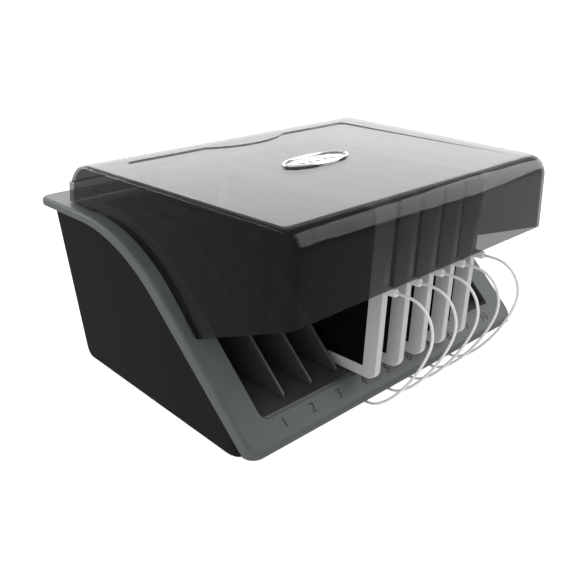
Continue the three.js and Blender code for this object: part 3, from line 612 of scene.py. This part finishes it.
def tub_ring(height_of, z_mark, inset, floor):
    """A level of the tub: z_mark sets its front, back and side roundings, height_of its height."""
    low, front, rear = TUB["low"] + floor, TUB["front"] + inset, TUB["rear"] - inset
    out = math.sqrt(max(0.0, TUB_NOSE_RADIUS**2 - max(0.0, TUB_NOSE_RADIUS - (z_mark - low)) ** 2))
    front_y = max(front, TUB_NOSE_Y - out)
    foot = TUB_FOOT - inset
    heel = rear - TUB_LEAN - foot
    if z_mark < low + foot:
        rear_y = heel + math.sqrt(max(0.0, foot**2 - (low + foot - z_mark) ** 2))
    else:
        rear_y = rear - TUB_LEAN * (TUB_TOP - z_mark) / (TUB_TOP - low - foot)
    half = TUB["half"] - inset - rounded(TUB_EDGE, z_mark - low)
    points = plan(front_y, rear_y, half, half, TUB["corner"] - inset)
    ring = []
    for x, y in points:
        z = height_of(y)
        ring.append((x * (1 + TUB_DRAFT * (z - TUB["low"])), y, z))
    return ring


def tub_levels(low):
    steps = [0.0, 0.0001, 0.0004, 0.0009, 0.0016, 0.0024, 0.0034, 0.005, 0.007, 0.0095]
    return [low + s for s in steps]


def level(z):
    """The same height all round a ring."""
    return lambda y: z


def make_tub():
    rings = [tub_ring(level(z), z, 0, 0) for z in tub_levels(TUB["low"])]
    shoulder = TUB["low"] + TUB_FOOT
    for share in (0.0, 0.08, 0.25, 0.5, 0.75, 1.0):
        mark = mix(shoulder, TUB_TOP, share)
        rings.append(tub_ring(lambda y: mix(shoulder, arm(y, SKIN + CLEAR), share), mark, 0, 0))
    tub = loft("tub", rings)
    tub.data.materials.append(HOUSING)
    inner_low = TUB["low"] + TUB_FLOOR
    inside = [tub_ring(level(z), z, TUB_WALL, TUB_FLOOR) for z in tub_levels(inner_low)]
    for z in (inner_low + TUB_FOOT, 0.1, 0.15, TUB_TOP, 0.21):
        inside.append(tub_ring(level(z), min(z, TUB_TOP), TUB_WALL, TUB_FLOOR))
    carve(tub, "DIFFERENCE", loft("hollow", inside))
    outer, inner = TUB["front"] - 0.005, TUB["front"] + 0.0075  # either side of the front wall
    between_posts, socket_half, socket_rise = 0.176, 0.0069, 0.0038
    carve(tub, "DIFFERENCE", block((-between_posts, outer, TUB_FRONT_TOP), (between_posts, inner, 0.26)))
    holes = [block((bay_x(b) - socket_half, outer, USB_Z - socket_rise),
                   (bay_x(b) + socket_half, inner, USB_Z + socket_rise)) for b in range(1, BAYS + 1)]
    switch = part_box("switch_housing")
    bezel, rear_from, rear_to = 0.002 - CLEAR, 0.14, 0.17
    holes.append(block((switch[0].x + bezel, rear_from, switch[0].z + bezel),
                       (switch[1].x - bezel, rear_to, switch[1].z - bezel)))
    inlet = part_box("dc_inlet")
    middle = (inlet[0] + inlet[1]) / 2
    inlet_radius, well_radius, well_top = 0.0063, 0.0042, 0.0041
    holes.append(rod("y", (middle.x, rear_from, middle.z), inlet_radius, rear_to - rear_from))
    for n in range(1, 5):
        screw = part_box(f"case_screw_{n}")
        centre = (screw[0] + screw[1]) / 2
        holes.append(rod("z", (centre.x, centre.y, 0), well_radius, well_top))
    carve(tub, "DIFFERENCE", merged(holes))
    return finished(tub, "tub", HOUSING, "root", ["base_bin"])


make_tub()

# ---------------------------------------------------------------- dividers


def divider_outline():
    toe, rear, top, round_top, corner = -0.1194, 0.108, 0.172, 0.090, 0.006
    toe_rise, below, toe_round = 0.0055, 0.0042, 0.0025
    tab_length, tab_depth, taper = 0.020, 0.006, 0.0015

    def foot(y):
        return tray_top(y) + CLEAR

    def slope_at(z):
        return NUMBERS_Y + (z - NUMBERS_Z) / math.tan(SLOPE) + below / math.sin(SLOPE)

    bend = round_top * math.tan(SLOPE / 2)
    toe_top = foot(toe) + toe_rise
    tabs = []
    for y in (-0.078, 0.058):
        half = tab_length / 2
        tabs += [(y - half, foot(y - half)), (y - half + taper, foot(y) - tab_depth),
                 (y + half - taper, foot(y) - tab_depth), (y + half, foot(y + half))]
    return [
        (toe, foot(toe)), *tabs, (rear, foot(rear)),
        *arc(rear - corner, top - corner, corner, 0, 90, 8),
        *arc(slope_at(top) + bend, top - round_top, round_top, 90, 90 + math.degrees(SLOPE), 14),
        (slope_at(toe_top), toe_top), (toe + 0.0004, toe_top - toe_round * 0.45), (toe, toe_top - toe_round),
    ]


for n in range(1, BAYS):
    low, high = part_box(f"divider_{n}")
    fin = slab("fin", "x", divider_outline(), low.x, high.x, 0.0012, 4)
    finished(fin, f"fin_{n}", DIVIDER, f"divider_{n}", [f"divider_{n}"])

# ---------------------------------------------------------------- lid


def lid_half(y):
    return mix(*LID_HALF, (y - LID_FRONT) / (LID_REAR - LID_FRONT))


def lid_low(y):
    if y > LID_HEEL:
        return arm(y, -LID_SEAT)
    return mix(LID_LOW, arm(LID_HEEL, -LID_SEAT), (y - LID_FRONT) / (LID_HEEL - LID_FRONT))


def lid_ring(z_mark, inset=0.0, height_of=None):
    """A level of the lid: z_mark sets where its front, back and sides have turned in to."""
    top = LID_TOP - inset
    front = LID_FRONT + inset + rounded(LID_FRONT_ROUND - inset, top - z_mark)
    rear = LID_REAR - inset - rounded(LID_REAR_ROUND - inset, top - z_mark)
    side = inset + rounded(max(0.0004, LID_EDGE - inset / 2), top - z_mark)
    outline = plan(front, rear, lid_half(front) - side, lid_half(rear) - side, LID_CORNER - inset)
    ring = []
    for x, y in outline:
        z = height_of(y) if height_of else z_mark
        ring.append((x * (1 + LID_DRAFT * (LID_TOP - z)), y, z))
    return ring


def lid_marks(inset):
    """Heights of the lid's upper rings, close together where an edge turns."""
    top = LID_TOP - inset
    marks = {top - LID_REAR_ROUND + inset}
    for radius, steps in ((LID_REAR_ROUND - inset, 12), (LID_FRONT_ROUND - inset, 14), (LID_EDGE, 9)):
        marks |= {round(top - radius * (1 - math.sin(math.pi / 2 * i / steps)), 6) for i in range(steps + 1)}
    ordered = sorted(marks)
    kept = [ordered[0]]
    for mark in ordered[1:]:
        if mark - kept[-1] > 0.00005:
            kept.append(mark)
    return kept


def make_lid():
    shoulder = LID_TOP - LID_REAR_ROUND - 0.0005
    soft = 0.0006

    def low_edge(inset, rise):
        return lid_ring(shoulder, inset, height_of=lambda y: lid_low(y) + rise)

    rings = [low_edge(0.0046, 0), low_edge(soft, 0), low_edge(soft * 0.3, soft * 0.3), low_edge(0, soft)]
    for share in (0.25, 0.5, 0.75):
        rings.append(lid_ring(shoulder, 0, height_of=lambda y: mix(lid_low(y) + soft, shoulder, share)))
    rings += [lid_ring(mark) for mark in lid_marks(0)]
    lid = loft("lid", rings)
    lid.data.materials.append(SMOKE)
    carve(lid, "UNION", lid_panel())
    cavity = loft("cavity", [lid_ring(shoulder, LID_WALL, height_of=lambda y: 0.09),
                             *[lid_ring(mark, LID_WALL) for mark in lid_marks(LID_WALL)]])
    carve(cavity, "DIFFERENCE", scoop_disc(LID_WALL))
    carve(lid, "DIFFERENCE", scoop_disc(0), cavity, recess())
    for side in (-1, 1):
        carve(lid, "UNION", knuckle(side * HINGE_X))
    carve(lid, "DIFFERENCE", merged([bore(side) for side in (-1, 1)]), merged(notches()))
    return finished(lid, "lid_cover", SMOKE, "lid", ["lid_shell"], sharp=28)


def lid_panel():
    """The raised panel round the lid's sides and back, a sleeve that only reaches into its wall."""
    proud, front, ridge, corner, sunk, lift = 0.0012, -0.1485, 0.207, 0.012, 0.0012, 0.0006
    past, steps = LID_REAR + 0.01, 30
    seat = [mix(LID_HEEL, past, i / steps) for i in range(steps + 1)]
    outline = [(front, lid_low(front) + lift), *[(y, lid_low(y) + lift) for y in seat]]
    outline += [(past, ridge), *arc(front + corner, ridge - corner, corner, 90, 180, 8)]
    sleeve = prism("x", outline, -0.3, 0.3)
    for out, operation in ((proud, "INTERSECT"), (-sunk, "DIFFERENCE")):
        around = plan(LID_FRONT - out, LID_REAR + out, LID_HALF[0] + out, LID_HALF[1] + out, LID_CORNER + out)
        drafted = [[(x * (1 + LID_DRAFT * (LID_TOP - z)), y, z) for x, y in around] for z in (0.09, 0.25)]
        carve(sleeve, operation, loft("tool", drafted))
    soften(sleeve, 0.0010, lambda edge: any(v.co.z > lid_low(v.co.y) + 0.003 for v in edge.verts)
           and all(outside(v.co) for v in edge.verts))
    return sleeve


def outside(point):
    """Whether a point of the panel stands proud of the lid's own walls."""
    across = abs(point.x) / (1 + LID_DRAFT * (LID_TOP - point.z))
    return across > lid_half(point.y) + 0.0006 or point.y > LID_REAR + 0.0006


def soften(piece, width, chosen, segments=2, angle=50):
    """Rounds a piece's sharp edges."""
    made = bmesh.new()
    made.from_mesh(piece.data)
    sharp = [e for e in made.edges if len(e.link_faces) == 2
             and e.calc_face_angle(0) > math.radians(angle) and chosen(e)]
    bmesh.ops.bevel(made, geom=sharp, offset=width, segments=segments, profile=0.5, affect="EDGES")
    made.to_mesh(piece.data)
    made.free()


def scoop_disc(out):
    radius = SCOOP_RADIUS + out
    return prism("z", oval(0, SCOOP_Y, radius, radius, 240), 0.07, 0.27)


def recess():
    """The shallow panel in the lid's top, deepest at the back, whose rear edge follows the scoop."""
    rear, front, half, corner, depth, slant = 0.090, -0.150, 0.154, 0.008, 0.0013, 0.0014
    sweep = math.degrees(math.asin(SCOOP_HALF / SCOOP_RADIUS))
    outline = [
        (half, front), *arc(half - corner, rear - corner, corner, 0, 90, 8),
        *arc(0, rear - SCOOP_DEPTH + SCOOP_RADIUS, SCOOP_RADIUS, -90 + sweep, -90 - sweep, 32),
        *arc(-half + corner, rear - corner, corner, 90, 180, 8), (-half, front),
    ]
    rings = []
    for out, level in ((-slant, 1.0), (0.0, 0.0), (slant, -1.0)):
        ring = []
        for x, y in shrunk(outline, -out):
            share = max(0.0, min(1.0, (y - front) / (rear - front)))
            ring.append((x, y, LID_TOP - depth * share * level + 0.00002))
        rings.append(ring)
    return loft("tool", rings)


def knuckle(x):
    root, low, high, radius = LID_REAR - 0.0008, HINGE_Z - 0.004, HINGE_Z + 0.006, 0.0046
    outline = [(root, low), *arc(HINGE_Y, HINGE_Z, radius, -60, 110, 20), (root, high)]
    return prism("x", outline, x - HINGE_HALF + CLEAR, x + HINGE_HALF - CLEAR)


def bore(side):
    radius, reach = 0.0023, 0.02
    return rod("x", (side * HINGE_X - reach, HINGE_Y, HINGE_Z), radius, 2 * reach)


def notches():
    """Room for the rubber bumpers in the lid's lower edge."""
    low_inset, high_inset, past = 0.001, -0.0033, 0.006
    tools = []
    for n in range(1, 5):
        low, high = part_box(f"lid_bumper_{n}")
        ys = [mix(low.y - CLEAR, high.y + CLEAR, i / 6) for i in range(7)]
        outline = [(y, arm(y, low_inset)) for y in ys] + [(y, arm(y, high_inset)) for y in reversed(ys)]
        tools.append(prism("x", outline, low.x - past, high.x + past))
    return tools


make_lid()

# ---------------------------------------------------------------- badge


def make_badge():
    low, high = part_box("badge_ring")
    x, y = (low.x + high.x) / 2, (low.y + high.y) / 2
    a, b = (high.x - low.x) / 2, (high.y - low.y) / 2
    width, rise = 0.003, high.z - low.z
    rings = []
    for i in range(17):
        angle = math.pi * i / 16
        inset = width / 2 * (1 - math.cos(angle))
        z = low.z + rise * (0.35 + 0.65 * math.sin(angle))
        rings.append([(u, v, z) for u, v in oval(x, y, a - inset, b - inset, 96)])
    floor = [[(u, v, low.z) for u, v in oval(x, y, a - k, b - k, 96)] for k in (width, 0)]
    ring = loft("ring", rings + floor, closed=True)
    finished(ring, "badge_rim", CHROME, "lid", ["badge_ring"], sharp=60)

    plate_low, plate_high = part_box("badge_plate")
    pa, pb = (plate_high.x - plate_low.x) / 2, (plate_high.y - plate_low.y) / 2
    dome = []
    for k in (1.0, 1.0, 0.985, 0.93, 0.8, 0.6, 0.35, 0.12):
        z = plate_low.z if not dome else mix(plate_low.z + 0.0004, plate_high.z, 1 - k**4)
        dome.append([(u, v, z) for u, v in oval(x, y, pa * k, pb * k, 96)])
    plate = loft("plate", dome)
    finished(plate, "badge_face", BADGE, "lid", ["badge_plate"], sharp=50)

    bars = []
    bar, gap, tall, count = 0.0062, 0.0038, 0.0058, 5
    for i in range(count):
        centre = x + (i - (count - 1) / 2) * (bar + gap)
        outline = [
            (centre + bar / 2 * math.copysign(abs(math.cos(t)) ** 0.5, math.cos(t)),
             y + tall * math.copysign(abs(math.sin(t)) ** 0.5, math.sin(t)))
            for t in [math.tau * (j + 0.5) / 24 for j in range(24)]]
        bars.append(slab("bar", "z", outline, plate_high.z - 0.0005, plate_high.z + 0.0006, 0.0004, 3))
    finished(merged(bars), "badge_bars", CHROME, "lid", sharp=50)


make_badge()

# ---------------------------------------------------------------- tablets


def rounded_box(length, height, corner, steps=8):
    return [
        *arc(length - corner, corner, corner, -90, 0, steps),
        *arc(length - corner, height - corner, corner, 0, 90, steps),
        *arc(corner, height - corner, corner, 90, 180, steps),
        *arc(corner, corner, corner, 180, 270, steps),
    ]


def make_tablet(bay):
    length, height, thick, corner = (TABLET[k] for k in ("length", "height", "thick", "corner"))
    matrix = tablet_matrix(bay)
    end_bezel, side_bezel, edge, lens_radius = 0.0157, 0.0108, 0.0011, 0.0014
    body = slab("body", "z", rounded_box(length, height, corner), 0, thick, edge, 5)
    body.data.materials.append(SHELL_WHITE)
    glass = [(end_bezel, side_bezel), (length - end_bezel, side_bezel),
             (length - end_bezel, height - side_bezel), (end_bezel, height - side_bezel)]
    well = prism("z", glass, -0.001, 0.0003)
    carve(body, "DIFFERENCE", well)
    body.data.transform(matrix)
    finished(body, f"slate_{bay}", SHELL_WHITE, "root", [f"tablet_{bay}"])
    pane = slab("pane", "z", shrunk(glass, 0.00015), 0.00005, 0.0004, 0.0001, 2)
    pane.data.transform(matrix)
    finished(pane, f"slate_{bay}_screen", SCREEN, "root")
    lens_outline = oval(length - end_bezel / 2, height / 2, lens_radius, lens_radius, 20)
    lens = slab("lens", "z", lens_outline, -0.00005, 0.0003, 0.00005, 2)
    lens.data.transform(matrix)
    finished(lens, f"slate_{bay}_lens", SCREEN, "root")
    sunk, proud, thin, wide = height - 0.0006, height + 0.0003, 0.0026, 0.0049
    key_outline = [(sunk, thin), (proud, thin), (proud, wide), (sunk, wide)]
    key = slab("key", "x", key_outline, length - 0.052, length - 0.030, 0.0002, 2)
    key.data.transform(matrix)
    finished(key, f"slate_{bay}_key", SHELL_WHITE, "root")


for bay in TABLETS:
    make_tablet(bay)

# ---------------------------------------------------------------- CAD nodes that stay

KEPT = {
    "device_tray": (TRAY_GREY, 0.0004),
    "rubber_foot": (RUBBER, 0.0004),
    "case_screw": (STEEL, 0.0),
    "charger_board": (CIRCUIT, 0.0),
    "board_screw": (STEEL, 0.0),
    "dc_inlet": (HOUSING, 0.0003),
    "switch_housing": (HOUSING, 0.0004),
    "power_rocker": (ROCKER, 0.0004),
    "power_lead": (LEAD, 0.0),
    "lid_bumper": (RUBBER, 0.0003),
    "hinge_bracket": (HOUSING, 0.0003),
    "hinge_pin": (STEEL, 0.0002),
    "usb_bank": (SOCKET, 0.0),
}

for name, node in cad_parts.items():
    for stem, (material, edge) in KEPT.items():
        if name.startswith(stem):
            node.data.materials.clear()
            node.data.materials.append(material)
            if edge:
                weld = node.modifiers.new("weld", "WELD")
                weld.merge_threshold = 0.00001
                bevel = node.modifiers.new("edge", "BEVEL")
                bevel.width = edge
                bevel.segments = 2
                bevel.limit_method = "ANGLE"
                bevel.angle_limit = math.radians(40)

# ---------------------------------------------------------------- floor and light

SPREAD = 60.0  # half the width of the floor
floor_mesh = bpy.data.meshes.new("floor")
floor_corners = [(x * SPREAD, y * SPREAD, 0) for x, y in ((-1, -1), (1, -1), (1, 1), (-1, 1))]
floor_mesh.from_pydata(floor_corners, [], [(0, 1, 2, 3)])
floor = linked("floor", floor_mesh)
floor.location.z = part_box("rubber_foot_1")[0].z - 0.0002
FLOOR = surface("floor_white", grey(0.35), 0.8, specular=0.1, bump=0.02, mottle=0.005)
floor_shader = FLOOR.node_tree.nodes["Principled BSDF"]
floor_shader.inputs["Emission Color"].default_value = (1, 1, 1, 1)
floor_shader.inputs["Emission Strength"].default_value = 0.95
floor.data.materials.append(FLOOR)

world = bpy.data.worlds.new("studio")
world.use_nodes = True
world.node_tree.nodes["Background"].inputs["Color"].default_value = (1, 1, 1, 1)
world.node_tree.nodes["Background"].inputs["Strength"].default_value = 1.0
bpy.context.scene.world = world


def softbox(name, centre, target, size, power, glossy_only=False, along=(0, 0, 1), fade=None):
    """A rectangle of light with its height along a direction; fade gives its strength low and high."""
    light = bpy.data.lights.new(name, "AREA")
    light.shape = "RECTANGLE"
    light.size, light.size_y = size
    light.energy = power
    lamp = linked(name, light)
    back = (Vector(centre) - Vector(target)).normalized()
    side = Vector(along).cross(back).normalized()
    turn = Matrix((side, back.cross(side), back)).transposed().to_4x4()
    lamp.matrix_world = Matrix.Translation(centre) @ turn
    lamp.visible_camera = False
    lamp.visible_diffuse = not glossy_only
    if fade:
        light.use_nodes = True
        nodes, links = light.node_tree.nodes, light.node_tree.links
        across = nodes.new("ShaderNodeSeparateXYZ")
        links.new(nodes.new("ShaderNodeNewGeometry").outputs["Parametric"], across.inputs["Vector"])
        ramp = nodes.new("ShaderNodeMapRange")
        ramp.inputs["To Min"].default_value, ramp.inputs["To Max"].default_value = fade
        links.new(across.outputs["Y"], ramp.inputs["Value"])
        links.new(ramp.outputs["Result"], nodes["Emission"].inputs["Strength"])
    return lamp


centre = Vector((0, 0, LID_TOP))
forward = Vector((math.sin(math.radians(43)), math.cos(math.radians(43)), 0))
CARD = 1.7  # how far off the reflecting card stands
softbox("card_behind", centre + forward * CARD + Vector((0, 0, 0.46)), centre, (3.6, 0.85), 36.0,
        glossy_only=True, fade=(0.35, 1.75))
softbox("card_front", centre + Vector((1.12, -0.76, 0.79)), centre, (0.95, 1.50), 45.0,
        glossy_only=True, along=(0, 0.80, 0.60))
softbox("card_left", centre + Vector((-1.10, 1.27, 0.57)), centre, (1.2, 0.6), 22.0, glossy_only=True)
softbox("key", (-1.7, -0.9, 1.5), (0, 0, 0.1), (1.6, 1.6), 10.0)
